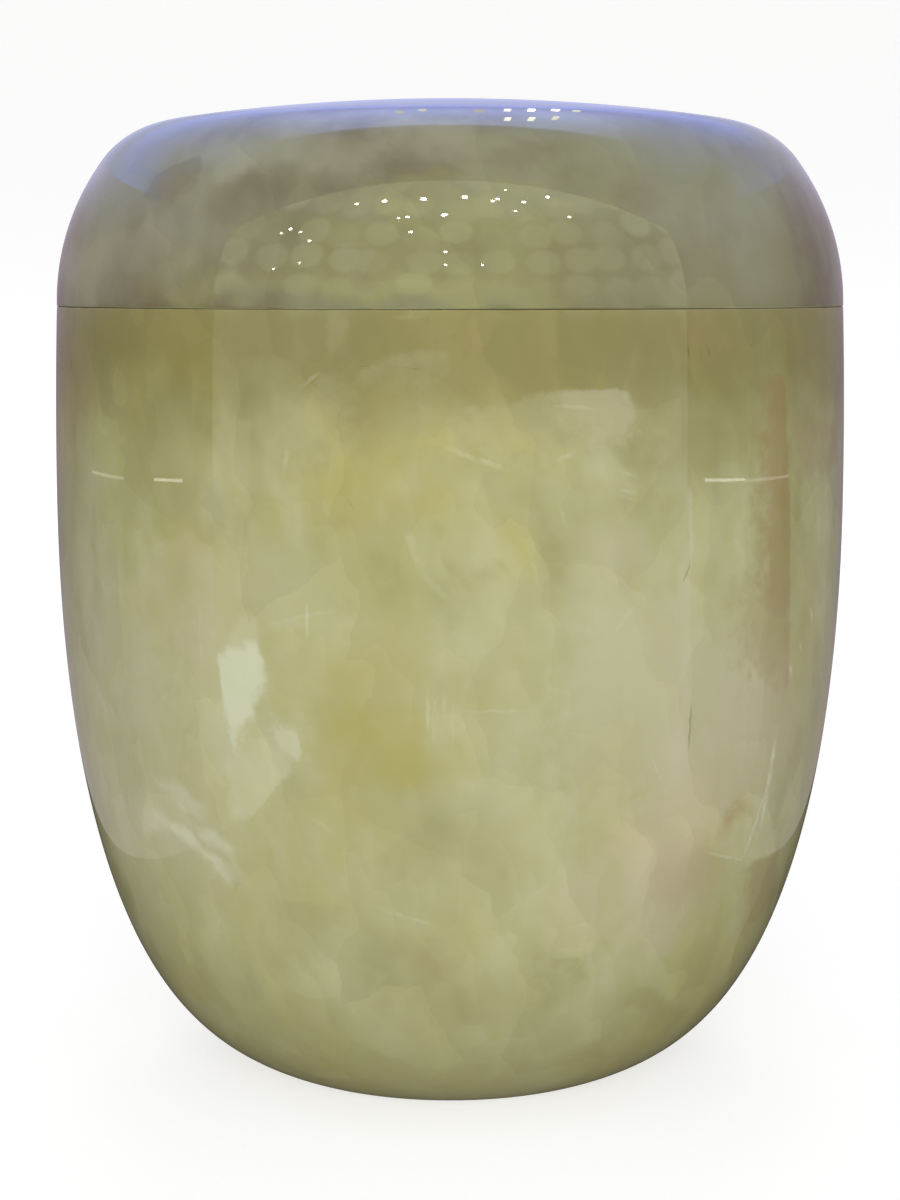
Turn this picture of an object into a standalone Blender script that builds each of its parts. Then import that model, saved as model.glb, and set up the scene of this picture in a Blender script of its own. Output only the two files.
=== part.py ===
"""Turned stone cremation urn: a hollow rounded vessel and its hollow domed lid, in metres, +Z up.

The origin is the centre of the flat underside. Both pieces are profiles of (radius, height) points,
turned about Z. The lid rests on the rim by its own weight, located by a ring that drops into the mouth.
"""

from math import acos, asin, atan2, cos, hypot, pi, radians, sin, sqrt

import bmesh
import bpy

# Body, outside: the side tapers down from its widest circle to the foot, and draws in a little above it
WIDEST_RADIUS = 0.103
WIDEST_HEIGHT = 0.148
UPPER_HEIGHT = 0.0502
RIM_DRAW_IN = 0.001
FOOT_RADIUS = 0.0525
FOOT_EDGE_RADIUS = 0.006

# The two powers of the superellipse that the taper follows
DROP_POWER = 2.12
SIDE_POWER = 4.02

# Body, inside
WALL = 0.016
FLOOR = 0.018
MOUTH_BEVEL = 0.0012

# Lid, outside: a flank arc that leaves the seam upright, a tight shoulder and a shallow crown.
# The flank's own arc would rise this far above the crown, if the shoulder didn't round it off.
LID_HEIGHT = 0.0518
FLANK_OVERSHOOT = 0.009
SHOULDER_RADIUS = 0.024
CROWN_RADIUS = 0.480

# Lid, inside
CROWN_WALL = 0.016
HOLLOW_FILLET = 0.012

# Locating ring under the lid
RING_DEPTH = 0.010
RING_WALL = 0.010
RING_BEVEL = 0.0012

# Fits, and the small bevels that leave a fine groove at the seam
SEAT_GAP = 0.0003
RING_CLEARANCE = 0.0006
SEAM_BEVEL = 0.0007

# Sizes that follow from those above
BODY_HEIGHT = WIDEST_HEIGHT + UPPER_HEIGHT
SEAM_RADIUS = WIDEST_RADIUS - RIM_DRAW_IN
MOUTH_RADIUS = SEAM_RADIUS - WALL
RING_RADIUS = MOUTH_RADIUS - RING_CLEARANCE
FLANK_RADIUS = LID_HEIGHT + FLANK_OVERSHOOT

# Stone: linear colours, and how polished and translucent it is
BODY_COLOUR = (0.45, 0.42, 0.18, 1)
LID_COLOUR = (0.36, 0.35, 0.19, 1)
ROUGHNESS = 0.12
TRANSLUCENCY = 0.3

# Fineness of the turned surfaces
TURN_STEPS = 64
SIDE_STEPS = 14
UPPER_STEPS = 4
FOOT_STEPS = 3
INNER_STEPS = 13
FLANK_STEPS = 5
SHOULDER_STEPS = 7
CROWN_STEPS = 4
FILLET_STEPS = 4
HOLLOW_STEPS = 3
HALVINGS = 40
MERGE_DISTANCE = 0.00005
SHARP_ANGLE = radians(30)


def arc(centre, radius, start, end, steps):
    """Points along an arc, both ends included. Its angles count up from the outward direction."""
    angles = [start + (end - start) * step / steps for step in range(steps + 1)]
    return [(centre[0] + radius * cos(angle), centre[1] + radius * sin(angle)) for angle in angles]


def taper_depth():
    """Depth below the widest circle at which the side would close on the axis, had the urn no foot."""
    left = 1 - (FOOT_RADIUS / WIDEST_RADIUS) ** SIDE_POWER
    return WIDEST_HEIGHT / left ** (1 / DROP_POWER)


def taper_point(turn, inset=0):
    """A point on the side, or inset from it along its normal, and that normal, at a turn in radians.

    The turn is 0 at the widest circle and a quarter turn where the side would close on the axis.
    """
    depth = taper_depth() * sin(turn) ** (2 / DROP_POWER)
    radius = WIDEST_RADIUS * cos(turn) ** (2 / SIDE_POWER)
    across = SIDE_POWER * (radius / WIDEST_RADIUS) ** (SIDE_POWER - 1) / WIDEST_RADIUS
    down = DROP_POWER * (depth / taper_depth()) ** (DROP_POWER - 1) / taper_depth()
    normal = (across / hypot(across, down), -down / hypot(across, down))
    return (radius - inset * normal[0], WIDEST_HEIGHT - depth - inset * normal[1]), normal


def turn_at(height, inset):
    """The turn at which the side, or a surface inset from it, comes down to a height."""
    low, high = 0, pi / 2
    for _ in range(HALVINGS):
        turn = (low + high) / 2
        if taper_point(turn, inset)[0][1] > height:
            low = turn
        else:
            high = turn
    return turn


def upper_point(share):
    """A point on the side above its widest circle, at a share of the way up from it to the rim."""
    return WIDEST_RADIUS - RIM_DRAW_IN * share**2, WIDEST_HEIGHT + share * UPPER_HEIGHT


def body_outside():
    """The body's outside, from the rim's outer edge down to the centre of the underside."""
    points = [(SEAM_RADIUS - SEAM_BEVEL, BODY_HEIGHT)]
    bevel_share = 1 - SEAM_BEVEL / UPPER_HEIGHT
    for step in range(UPPER_STEPS, 0, -1):
        points.append(upper_point(bevel_share * step / UPPER_STEPS))
    foot_turn = turn_at(FOOT_EDGE_RADIUS, FOOT_EDGE_RADIUS)
    for step in range(SIDE_STEPS):
        points.append(taper_point(foot_turn * step / SIDE_STEPS)[0])
    centre, normal = taper_point(foot_turn, FOOT_EDGE_RADIUS)
    points += arc(centre, FOOT_EDGE_RADIUS, atan2(normal[1], normal[0]), -pi / 2, FOOT_STEPS)
    return points + [(0, 0)]


def body_inside():
    """The chamber, one wall in from the side, from the centre of its floor to the edge of the mouth."""
    points = [(0, FLOOR)]
    floor_turn = turn_at(FLOOR, WALL)
    for step in range(INNER_STEPS, -1, -1):
        points.append(taper_point(floor_turn * step / INNER_STEPS, WALL)[0])
    points.append((MOUTH_RADIUS, BODY_HEIGHT - RING_DEPTH - RING_CLEARANCE))
    points.append((MOUTH_RADIUS, BODY_HEIGHT - MOUTH_BEVEL))
    points.append((MOUTH_RADIUS + MOUTH_BEVEL, BODY_HEIGHT))
    return points


def shoulder_centre(flank, crown):
    """Centre of the shoulder's arc, which touches the flank's arc and the crown's arc from inside."""
    to_flank = FLANK_RADIUS - SHOULDER_RADIUS
    to_crown = CROWN_RADIUS - SHOULDER_RADIUS
    apart = hypot(crown[0] - flank[0], crown[1] - flank[1])
    along = (to_flank**2 - to_crown**2 + apart**2) / (2 * apart)
    aside = sqrt(to_flank**2 - along**2)
    unit = ((crown[0] - flank[0]) / apart, (crown[1] - flank[1]) / apart)
    return flank[0] + along * unit[0] - aside * unit[1], flank[1] + along * unit[1] + aside * unit[0]


def lid_outside():
    """The lid's outside, above its seat, from the top of its crown down to the edge of the seat."""
    flank = (SEAM_RADIUS - FLANK_RADIUS, 0)
    crown = (0, LID_HEIGHT - CROWN_RADIUS)
    shoulder = shoulder_centre(flank, crown)
    to_flank = atan2(shoulder[1] - flank[1], shoulder[0] - flank[0])
    to_crown = atan2(shoulder[1] - crown[1], shoulder[0] - crown[0])
    bevel_angle = asin(SEAM_BEVEL / FLANK_RADIUS)
    points = [(0, LID_HEIGHT)]
    points += arc(crown, CROWN_RADIUS, pi / 2, to_crown, CROWN_STEPS)[1:-1]
    points += arc(shoulder, SHOULDER_RADIUS, to_crown, to_flank, SHOULDER_STEPS)[:-1]
    points += arc(flank, FLANK_RADIUS, to_flank, bevel_angle, FLANK_STEPS)
    return points + [(SEAM_RADIUS - SEAM_BEVEL, 0)]


def lid_ring():
    """The inner edge of the seat and the locating ring below it, from its outside to its inside."""
    return [
        (RING_RADIUS, 0),
        (RING_RADIUS, RING_BEVEL - RING_DEPTH),
        (RING_RADIUS - RING_BEVEL, -RING_DEPTH),
        (RING_RADIUS - RING_WALL, -RING_DEPTH),
    ]


def lid_hollow():
    """The hollow under the crown, from its straight side over a fillet to the centre of its ceiling."""
    ceiling_radius = CROWN_RADIUS - CROWN_WALL
    ceiling = (0, LID_HEIGHT - CROWN_RADIUS)
    fillet_x = RING_RADIUS - RING_WALL - HOLLOW_FILLET
    fillet_end = acos(fillet_x / (ceiling_radius - HOLLOW_FILLET))
    fillet = (fillet_x, ceiling[1] + (ceiling_radius - HOLLOW_FILLET) * sin(fillet_end))
    points = arc(fillet, HOLLOW_FILLET, 0, fillet_end, FILLET_STEPS)
    points += arc(ceiling, ceiling_radius, fillet_end, pi / 2, HOLLOW_STEPS)[1:-1]
    return points + [(0, LID_HEIGHT - CROWN_WALL)]


def profile_object(name, profile):
    """A guide whose edges join the profile's points in the XZ plane."""
    drawn = bmesh.new()
    points = [drawn.verts.new((radius, 0, height)) for radius, height in profile]
    for first, second in zip(points, points[1:]):
        drawn.edges.new((first, second))
    mesh = bpy.data.meshes.new(name + "_profile")
    drawn.to_mesh(mesh)
    drawn.free()
    guide = bpy.data.objects.new(name + "_profile", mesh)
    bpy.context.scene.collection.objects.link(guide)
    return guide


def turned_mesh(name, profile):
    """The smooth mesh of a profile turned about Z. The profile runs down its outer side."""
    guide = profile_object(name, profile)
    screw = guide.modifiers.new("Turn", "SCREW")
    screw.angle = 2 * pi
    screw.steps = TURN_STEPS
    screw.render_steps = TURN_STEPS
    screw.use_merge_vertices = True
    screw.merge_threshold = MERGE_DISTANCE
    evaluated = guide.evaluated_get(bpy.context.evaluated_depsgraph_get())
    turned = bpy.data.meshes.new_from_object(evaluated)
    turned.name = name
    bpy.data.objects.remove(guide)
    turned.shade_smooth()
    turned.set_sharp_from_angle(angle=SHARP_ANGLE)
    return turned


def onyx(name, colour):
    """Polished, slightly translucent stone."""
    material = bpy.data.materials.new(name)
    material.use_nodes = True
    shader = material.node_tree.nodes["Principled BSDF"]
    shader.inputs["Base Color"].default_value = colour
    shader.inputs["Roughness"].default_value = ROUGHNESS
    shader.inputs["Metallic"].default_value = 0
    shader.inputs["Subsurface Weight"].default_value = TRANSLUCENCY
    return material


def add_piece(collection, name, profile, material):
    """One turned piece, linked into the collection."""
    piece = bpy.data.objects.new(name, turned_mesh(name, profile))
    piece.data.materials.append(material)
    collection.objects.link(piece)
    return piece


def clear_scene():
    """Removes whatever the scene holds at the start."""
    for item in list(bpy.data.objects):
        bpy.data.objects.remove(item)


def main():
    clear_scene()
    urn = bpy.data.collections.new("cremation_urn")
    bpy.context.scene.collection.children.link(urn)
    body_profile = body_inside() + body_outside()
    lid_profile = lid_outside() + lid_ring() + lid_hollow()
    body = add_piece(urn, "urn_body", body_profile, onyx("body_onyx", BODY_COLOUR))
    lid = add_piece(urn, "urn_lid", lid_profile, onyx("lid_onyx", LID_COLOUR))
    lid.parent = body
    lid.location = (0, 0, BODY_HEIGHT + SEAT_GAP)


main()
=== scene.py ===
from collections import namedtuple
from math import acos, asin, atan2, cos, hypot, log2, pi, radians, sin, sqrt

import bmesh
import bpy
import numpy as np
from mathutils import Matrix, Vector, noise
from mathutils.interpolate import poly_3d_calc


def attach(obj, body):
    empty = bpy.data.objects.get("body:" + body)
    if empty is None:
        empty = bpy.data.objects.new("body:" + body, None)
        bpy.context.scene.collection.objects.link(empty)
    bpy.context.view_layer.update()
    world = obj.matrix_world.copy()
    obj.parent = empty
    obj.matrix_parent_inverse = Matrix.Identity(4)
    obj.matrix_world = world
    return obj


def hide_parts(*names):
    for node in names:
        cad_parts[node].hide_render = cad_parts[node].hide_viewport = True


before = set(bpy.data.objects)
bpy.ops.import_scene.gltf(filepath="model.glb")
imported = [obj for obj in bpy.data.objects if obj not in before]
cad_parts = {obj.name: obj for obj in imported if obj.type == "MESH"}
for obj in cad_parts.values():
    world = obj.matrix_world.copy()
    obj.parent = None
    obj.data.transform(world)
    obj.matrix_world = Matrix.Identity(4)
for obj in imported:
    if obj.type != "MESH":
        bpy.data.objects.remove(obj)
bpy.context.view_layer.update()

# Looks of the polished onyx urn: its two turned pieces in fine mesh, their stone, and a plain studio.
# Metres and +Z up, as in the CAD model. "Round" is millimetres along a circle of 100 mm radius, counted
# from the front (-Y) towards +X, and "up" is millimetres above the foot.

# The turned shape, from the same named values as the CAD model
WIDEST_RADIUS = 0.103
WIDEST_HEIGHT = 0.148
UPPER_HEIGHT = 0.0502
RIM_DRAW_IN = 0.001
FOOT_RADIUS = 0.0525
FOOT_EDGE_RADIUS = 0.006
DROP_POWER = 2.12
SIDE_POWER = 4.02
WALL = 0.016
FLOOR = 0.018
MOUTH_BEVEL = 0.0012
LID_HEIGHT = 0.0518
FLANK_OVERSHOOT = 0.009
SHOULDER_RADIUS = 0.024
CROWN_RADIUS = 0.480
CROWN_WALL = 0.016
HOLLOW_FILLET = 0.012
RING_DEPTH = 0.010
RING_WALL = 0.010
RING_BEVEL = 0.0012
SEAT_GAP = 0.0003
RING_CLEARANCE = 0.0006
SEAM_BEVEL = 0.0007
BODY_HEIGHT = WIDEST_HEIGHT + UPPER_HEIGHT
SEAM_RADIUS = WIDEST_RADIUS - RIM_DRAW_IN
MOUTH_RADIUS = SEAM_RADIUS - WALL
RING_RADIUS = MOUTH_RADIUS - RING_CLEARANCE
FLANK_RADIUS = LID_HEIGHT + FLANK_OVERSHOOT

# The seam as it shows: worn arrises, and a skirt by which the lid all but closes the gap at its edge
ARRIS_RADIUS = 0.00025
SKIRT_DROP = 0.00022

# Fineness of the mesh
TURN_STEPS = 336
SIDE_STEPS = 110
UPPER_STEPS = 28
ARRIS_STEPS = 5
FOOT_STEPS = 8
INNER_STEPS = 40
CROWN_STEPS = 60
SHOULDER_STEPS = 40
FLANK_STEPS = 36
HALVINGS = 40

# Hand polish: how deep its faint waves and the small chips along the seam are
WAVE_DEPTH = 0.00005
WAVE_LENGTH = 0.045
CHIP_DEPTH = 0.00035
CHIP_REACH = 0.0016

# Camera
EYE = Vector((0, -0.620, 0.2032))
AIM = Vector((0, 0, 0.1202))
FOCAL_PIXELS = 2340
IMAGE_HEIGHT = 1200
IMAGE_MIDDLE = (450.5, 600)  # in the photograph's pixels
SENSOR = 36.0

# Places on the stone are in mm up, and in mm round a circle of this radius
ROUND_RADIUS = 100
MM = 1000

# Stone: how it bends and scatters light, its roughness polished and honed, and the scales of its grain
STONE_IOR = 1.58
TRANSLUCENCY = 0.35
SCATTER_COLOUR = (1.0, 0.9, 0.5)
SCATTER_DEPTH = 0.003
POLISHED = (0.018, 0.034)
HONED = (0.38, 0.55)
BROAD_CELLS = 50
FINE_CELLS = 140
RIPPLE = 260

# Stone colours, linear
BASE = (0.415, 0.412, 0.195)
CREAM = (0.545, 0.553, 0.350)
HONEY = (0.425, 0.385, 0.125)
# Olive also serves for painted shade, darker towards the rim under the lid
OLIVE = (0.210, 0.185, 0.050)
BROWN = (0.320, 0.215, 0.095)
# Haze also paints part of a reflection low at the left of the body
HAZE = (0.560, 0.535, 0.380)
BLUSH = (0.585, 0.490, 0.340)
# Gleam is also the colour of a painted reflection low at the left of the body
GLEAM = (0.660, 0.695, 0.510)
FISSURE = (0.10, 0.09, 0.04)
LID_BASE = (0.238, 0.236, 0.120)
LID_HAZE = (0.308, 0.306, 0.205)
LID_PALE = (0.400, 0.400, 0.265)
# Lid dark is also the colour of a painted reflection high on the lid at the left
LID_DARK = (0.165, 0.145, 0.070)
LID_GREEN = (0.290, 0.285, 0.110)

# The niche of cards that only the polish mirrors: its half width, and the heights and depths of its edges
NICHE_SIDE = 0.19
NICHE_FRONT = -0.139
NICHE_REAR = 0.45
NICHE_TOP = 0.295
LEFT_EDGE = 0.010
RIGHT_EDGE = -0.018
STRIP_FRONT = -0.072

# The light that each card, lamp and spot gives off, linear, and the strength of the floor, keys and sky
TABLE = (0.07, 0.06, 0.05)
REAR = (0.22, 0.20, 0.22)
LEFT_LOW = (0.42, 0.41, 0.36)
RIGHT_LOW = (0.30, 0.28, 0.22)
SIDE_MIDDLE = (0.17, 0.15, 0.15)
SIDE_UPPER = (0.45, 0.38, 0.48)
LEFT_TOP = (0.70, 0.68, 1.05)
RIGHT_TOP = (0.66, 0.62, 0.88)
SIDE_BEHIND = (0.34, 0.26, 0.36)
HOOD_FRONT = (0.62, 0.60, 0.72)
HOOD_MIDDLE = (0.72, 0.86, 1.95)
HOOD_EDGE = (0.66, 0.62, 0.82)
HOOD_BACK = (0.58, 0.62, 1.00)
HOOD_STRIP = (1.55, 1.90, 3.80)
OPENING_LOW = (0.80, 0.78, 0.73)
OPENING_HIGH = (0.60, 0.62, 0.62)
OPENING_TOP = (1.15, 1.28, 1.25)
OPENING_CELL = (1.85, 1.95, 1.55)
STRIP_BRIGHT = (4.2, 4.1, 3.7)
STRIP_TAIL = (1.3, 1.2, 1.1)
FLOOR_DIM = (0.46, 0.46, 0.46)
FLOOR_PALE = (0.50, 0.50, 0.495)
FLOOR_GLOW = 0.66
KEY_LIGHT = (1.0, 0.98, 0.95)
KEY_FRONT = 15.5
KEY_BACK = 25.0
SKY_STRENGTH = 0.50
LAMP_LIGHT = (48.0, 46.0, 40.0)
SPOT_LIGHT = (9.0, 9.0, 8.0)

# How far beyond the stone the lamps stand that the polish mirrors as glints
LAMP_DISTANCE = 1.3

# Thin strips of light on the sides: name, side, front end, rear end and light, and their edges' heights
STRIPS = (
    ("left", -1, -0.105, -0.074, STRIP_BRIGHT), ("left_tail", -1, -0.039, 0.010, STRIP_TAIL),
    ("right", 1, -0.119, -0.075, STRIP_BRIGHT), ("right_tail", 1, -0.075, -0.022, STRIP_TAIL),
)
STRIP_LOW = (0.1495, 0.1500)
STRIP_HIGH = (0.1506, 0.1508)

# How far strips and spots stand off their card, the open front's dome with its rows of cells, and the table
CARD_GAP = 0.001
OPENING_RADIUS = 2.2
OPENING_DIP = 1.12
OPENING_RINGS = 16
OPENING_STEPS = 48
TABLE_REACH = 2.1
TABLE_DROP = 0.0006
CELL_ANGLE = 0.190

Patch = namedtuple("Patch", "middle half amount soft turn", defaults=(1.0, 0))
Facet = namedtuple("Facet", "corners softness amount")
Streak = namedtuple("Streak", "start end width amount")

# Places and sizes below are noted on the photograph, in its pixels across and down, and the class
# Photograph carries them onto the stone. A facet has a softness in mm for each side. A patch's soft is the
# share of its size over which it fades, and its turn is in degrees. Amounts are shares of 1.
BRIGHT_FACETS = (
    Facet(((218, 653), (257, 641), (266, 668), (262, 692), (233, 746), (222, 700)),
          (0.8, 1.5, 4, 4, 2.5, 0.6), 0.85),
    Facet(((278, 722), (300, 735), (303, 752), (296, 766), (270, 745)), (3, 0.8, 0.8, 4, 5), 0.50),
    Facet(((296, 766), (248, 822), (228, 815), (228, 760), (275, 735)), (0.9, 3, 6, 8, 4), 0.30),
    Facet(((252, 612), (262, 632), (255, 645), (222, 652), (240, 622)), (2, 2, 2, 2, 4), 0.25),
)
PALE_FACETS = (
    Facet(((468, 410), (558, 391), (627, 389), (640, 412), (604, 468), (520, 472), (470, 450)),
          (1.5, 0.8, 1.5, 5, 9, 1.2, 5), 0.42),
    Facet(((361, 366), (421, 352), (446, 352), (450, 372), (400, 384), (361, 376)),
          (1.2, 0.8, 3, 5, 6, 2), 0.35),
    Facet(((290, 412), (322, 378), (350, 380), (352, 440), (300, 470), (284, 440)),
          (1.5, 2, 5, 9, 7, 3), 0.35),
    Facet(((233, 418), (250, 418), (251, 520), (232, 520)), (1, 1.2, 8, 1.5), 0.30),
    Facet(((328, 311), (346, 311), (348, 352), (328, 352)), (2, 2, 5, 1.2), 0.28),
    Facet(((216, 400), (226, 400), (232, 700), (218, 700)), (5, 4, 5, 0.6), 0.20),
    Facet(((541, 742), (560, 742), (562, 885), (541, 885)), (6, 5, 6, 0.8), 0.28),
    Facet(((545, 700), (600, 560), (640, 600), (620, 700)), (8, 3, 8, 6), 0.22),
    Facet(((330, 600), (345, 598), (430, 640), (400, 690), (330, 660)), (3, 5, 6, 8, 2), 0.16),
    Facet(((455, 480), (475, 470), (520, 560), (500, 600)), (4, 1.5, 5, 3), 0.22),
    Facet(((500, 620), (560, 600), (590, 700), (520, 740)), (5, 6, 8, 2), 0.20),
    Facet(((365, 905), (440, 925), (445, 940), (380, 925)), (2, 3, 1, 3), 0.25),
    Facet(((210, 905), (272, 905), (270, 965), (225, 940)), (5, 1, 6, 6), 0.14),
)
HAZE_FACETS = (
    Facet(((688, 560), (691, 560), (692, 700), (688, 752), (672, 797), (640, 743), (648, 670)),
          (0.5, 0.5, 0.5, 1, 1, 4, 6), 0.60),
    Facet(((555, 391), (628, 389), (640, 430), (600, 440), (560, 420)), (0.8, 1.5, 5, 7, 5), 0.35),
    Facet(((684, 490), (692, 486), (693, 565), (686, 568)), (1, 0.5, 1, 1.5), 0.45),
    Facet(((150, 546), (190, 532), (214, 548), (214, 640), (140, 660), (128, 590)),
          (1.2, 1.2, 0.8, 9, 6, 4), 0.30),
    Facet(((600, 600), (688, 600), (688, 800), (560, 820), (560, 700)), (8, 1, 12, 9, 9), 0.42),
)
HAZE_PATCHES = (
    # The first four patches are painted reflection: the rounded lower ends of the mirrored side bands at the
    # left
    Patch((170, 838), (38, 20), 0.55, 0.9),
    Patch((194, 848), (10, 8), 0.75, 0.8, -20),
    Patch((240, 818), (12, 16), 0.25, 0.9, -25),
    Patch((175, 785), (22, 15), 0.32, 0.9),
    Patch((715, 765), (18, 30), 0.50, 0.9),
    Patch((150, 690), (40, 80), 0.35),
    Patch((580, 900), (55, 60), 0.25),
    Patch((620, 470), (30, 40), 0.25),
    Patch((105, 640), (18, 90), 0.30),
    Patch((220, 630), (55, 160), 0.40),
    Patch((700, 725), (80, 165), 0.48),
    Patch((650, 885), (75, 75), 0.42),
    Patch((205, 830), (60, 100), 0.38),
    Patch((590, 600), (65, 90), 0.25),
    Patch((232, 720), (50, 110), 0.40),
    Patch((240, 600), (60, 60), 0.35),
    Patch((615, 560), (60, 60), 0.40),
    Patch((690, 760), (70, 110), 0.50),
)
HONEY_FACETS = (
    Facet(((330, 712), (425, 700), (427, 790), (390, 797), (318, 772), (306, 745)),
          (3, 1.2, 6, 5, 3, 4), 0.62),
    Facet(((262, 632), (305, 628), (312, 700), (284, 722), (268, 690)), (1, 4, 5, 4, 1.5), 0.40),
    Facet(((340, 560), (400, 520), (432, 590), (420, 690), (350, 680)), (5, 1.5, 4, 6, 6), 0.45),
    Facet(((330, 450), (445, 440), (470, 480), (440, 540), (330, 540)), (6, 3, 5, 8, 8), 0.28),
    Facet(((500, 600), (520, 600), (540, 700), (515, 700)), (5, 3, 6, 1), 0.25),
    Facet(((330, 780), (420, 800), (430, 850), (340, 870)), (6, 3, 6, 8), 0.20),
    Facet(((440, 860), (540, 790), (545, 880), (470, 900)), (2, 6, 6, 6), 0.25),
)
HONEY_PATCHES = (
    Patch((380, 700), (95, 100), 0.55),
    Patch((330, 500), (60, 60), 0.20),
    Patch((480, 690), (60, 60), 0.30),
    Patch((410, 755), (90, 60), 0.50),
)
OLIVE_FACETS = (
    # Partly painted shade, partly the stone's olive: this facet darkens the body just under the seam, under
    # the lid
    Facet(((555, 310), (690, 310), (690, 385), (628, 386), (560, 362)), (6, 1.5, 2, 1.5, 2), 0.42),
    Facet(((277, 900), (345, 908), (338, 960), (300, 968), (277, 950)), (1.2, 4, 6, 8, 1), 0.22),
    Facet(((375, 858), (430, 818), (452, 824), (440, 872), (400, 885)), (1, 1.5, 4, 6, 5), 0.20),
    Facet(((652, 433), (678, 430), (684, 487), (655, 492)), (3, 2, 3, 5), 0.30),
    Facet(((640, 395), (690, 395), (691, 560), (672, 560), (660, 470)), (5, 0.6, 4, 8, 8), 0.22),
    # Partly painted shade, partly the stone's olive: darker just under the seam, with the band under the lid
    Facet(((345, 306), (445, 306), (440, 348), (350, 362)), (2, 5, 2, 4), 0.12),
    Facet(((404, 405), (430, 398), (436, 406), (410, 412)), (1.5, 2, 1, 1.5), 0.25),
    Facet(((433, 520), (448, 528), (444, 540), (430, 535)), (2, 1, 2, 2), 0.22),
)
OLIVE_PATCHES = (
    Patch((450, 1000), (170, 60), 0.10),
    Patch((570, 965), (14, 10), 0.25, 0.9),
    Patch((640, 1010), (50, 16), 0.25, 0.9, -18),
    Patch((795, 880), (14, 40), 0.35, 0.9, 25),
    Patch((124, 885), (8, 30), 0.30, 0.9, -20),
    Patch((480, 560), (14, 12), 0.25),
    Patch((205, 410), (12, 40), 0.25),
    Patch((590, 440), (90, 35), 0.15),
    Patch((700, 450), (65, 80), 0.27),
    Patch((170, 470), (70, 80), 0.20),
    Patch((85, 490), (45, 90), 0.15),
    Patch((600, 435), (110, 40), 0.26),
    Patch((680, 390), (50, 50), 0.20),
    Patch((455, 830), (80, 40), 0.15),
    Patch((190, 500), (50, 50), 0.25),
)
CREAM_PATCHES = (
    Patch((595, 680), (85, 90), 0.42),
    Patch((285, 715), (60, 80), 0.45),
    Patch((655, 880), (80, 70), 0.55),
    Patch((215, 700), (45, 110), 0.35),
    Patch((730, 690), (50, 90), 0.30),
    Patch((255, 560), (55, 60), 0.30),
)
# Painted reflection: the pale rounded lower ends of the mirrored side bands, low at the left of the body
PAINTED_REFLECTION_PATCHES = (
    Patch((190, 849), (52, 11), 0.50, 0.9, -8),
    Patch((218, 838), (24, 15), 0.60, 0.9, -30),
    Patch((182, 792), (32, 15), 0.35, 0.9, 10),
    Patch((150, 820), (14, 34), 0.20, 0.9),
)
BLUSH_PATCHES = (
    Patch((660, 855), (80, 100), 0.50),
    Patch((745, 745), (60, 110), 0.38),
    Patch((620, 900), (90, 60), 0.30),
    Patch((125, 800), (60, 60), 0.20),
)
BROWN_FACETS = (
    Facet(((766, 376), (789, 376), (791, 520), (790, 665), (752, 665), (760, 500)),
          (1.5, 1, 1, 14, 9, 9), 0.60),
    Facet(((791, 420), (838, 420), (838, 468), (800, 474)), (4, 3, 4, 4), 0.40),
    Facet(((742, 590), (790, 600), (790, 690), (740, 660)), (6, 1.5, 8, 9), 0.40),
    Facet(((745, 868), (778, 850), (772, 905), (745, 930)), (2, 3, 6, 7), 0.45),
)
BROWN_PATCHES = (
    Patch((742, 815), (15, 16), 0.45),
    Patch((690, 880), (50, 50), 0.30),
    Patch((775, 330), (22, 16), 0.30),
    Patch((72, 380), (16, 80), 0.20),
    Patch((690, 340), (60, 30), 0.18),
    Patch((470, 325), (14, 10), 0.35),
    Patch((430, 955), (40, 20), 0.20),
)
VEINS = (
    Streak((307, 598), (307, 640), 1.6, 0.60),
    Streak((262, 626), (344, 608), 2.4, 0.20),
    Streak((428, 688), (428, 735), 2.0, 0.38),
    Streak((434, 695), (434, 744), 1.6, 0.28),
    Streak((445, 690), (444, 722), 2.2, 0.30),
    Streak((453, 700), (453, 748), 1.6, 0.22),
    Streak((462, 711), (526, 711), 1.4, 0.35),
    Streak((777, 728), (760, 832), 4.8, 1.00),
    Streak((768, 785), (742, 862), 2.6, 0.75),
    Streak((752, 862), (702, 851), 1.8, 0.60),
    Streak((668, 796), (650, 752), 1.4, 0.35),
    Streak((618, 470), (642, 478), 1.4, 0.40),
    Streak((620, 489), (640, 494), 1.6, 0.42),
    Streak((626, 497), (636, 500), 1.4, 0.40),
    Streak((691, 484), (691, 562), 2.6, 0.30),
    Streak((406, 528), (424, 574), 5.0, 0.32),
    Streak((420, 570), (448, 600), 4.0, 0.30),
    Streak((445, 448), (512, 471), 3.0, 0.40),
    Streak((556, 463), (575, 452), 3.0, 0.35),
    Streak((282, 478), (290, 446), 3.0, 0.25),
    Streak((300, 388), (322, 372), 2.2, 0.28),
    Streak((213, 556), (224, 570), 1.3, 0.45),
    Streak((790, 664), (792, 676), 4.0, 0.90),
    Streak((811, 610), (813, 622), 3.4, 0.75),
    Streak((800, 640), (802, 652), 2.6, 0.55),
    Streak((370, 905), (442, 928), 2.4, 0.30),
    Streak((200, 596), (202, 668), 2.0, 0.18),
    Streak((560, 500), (566, 528), 3.0, 0.22),
    Streak((530, 552), (540, 590), 2.6, 0.20),
    Streak((610, 640), (640, 600), 3.0, 0.20),
    Streak((300, 810), (338, 836), 3.0, 0.18),
    Streak((545, 404), (600, 410), 1.8, 0.25),
)
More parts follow.
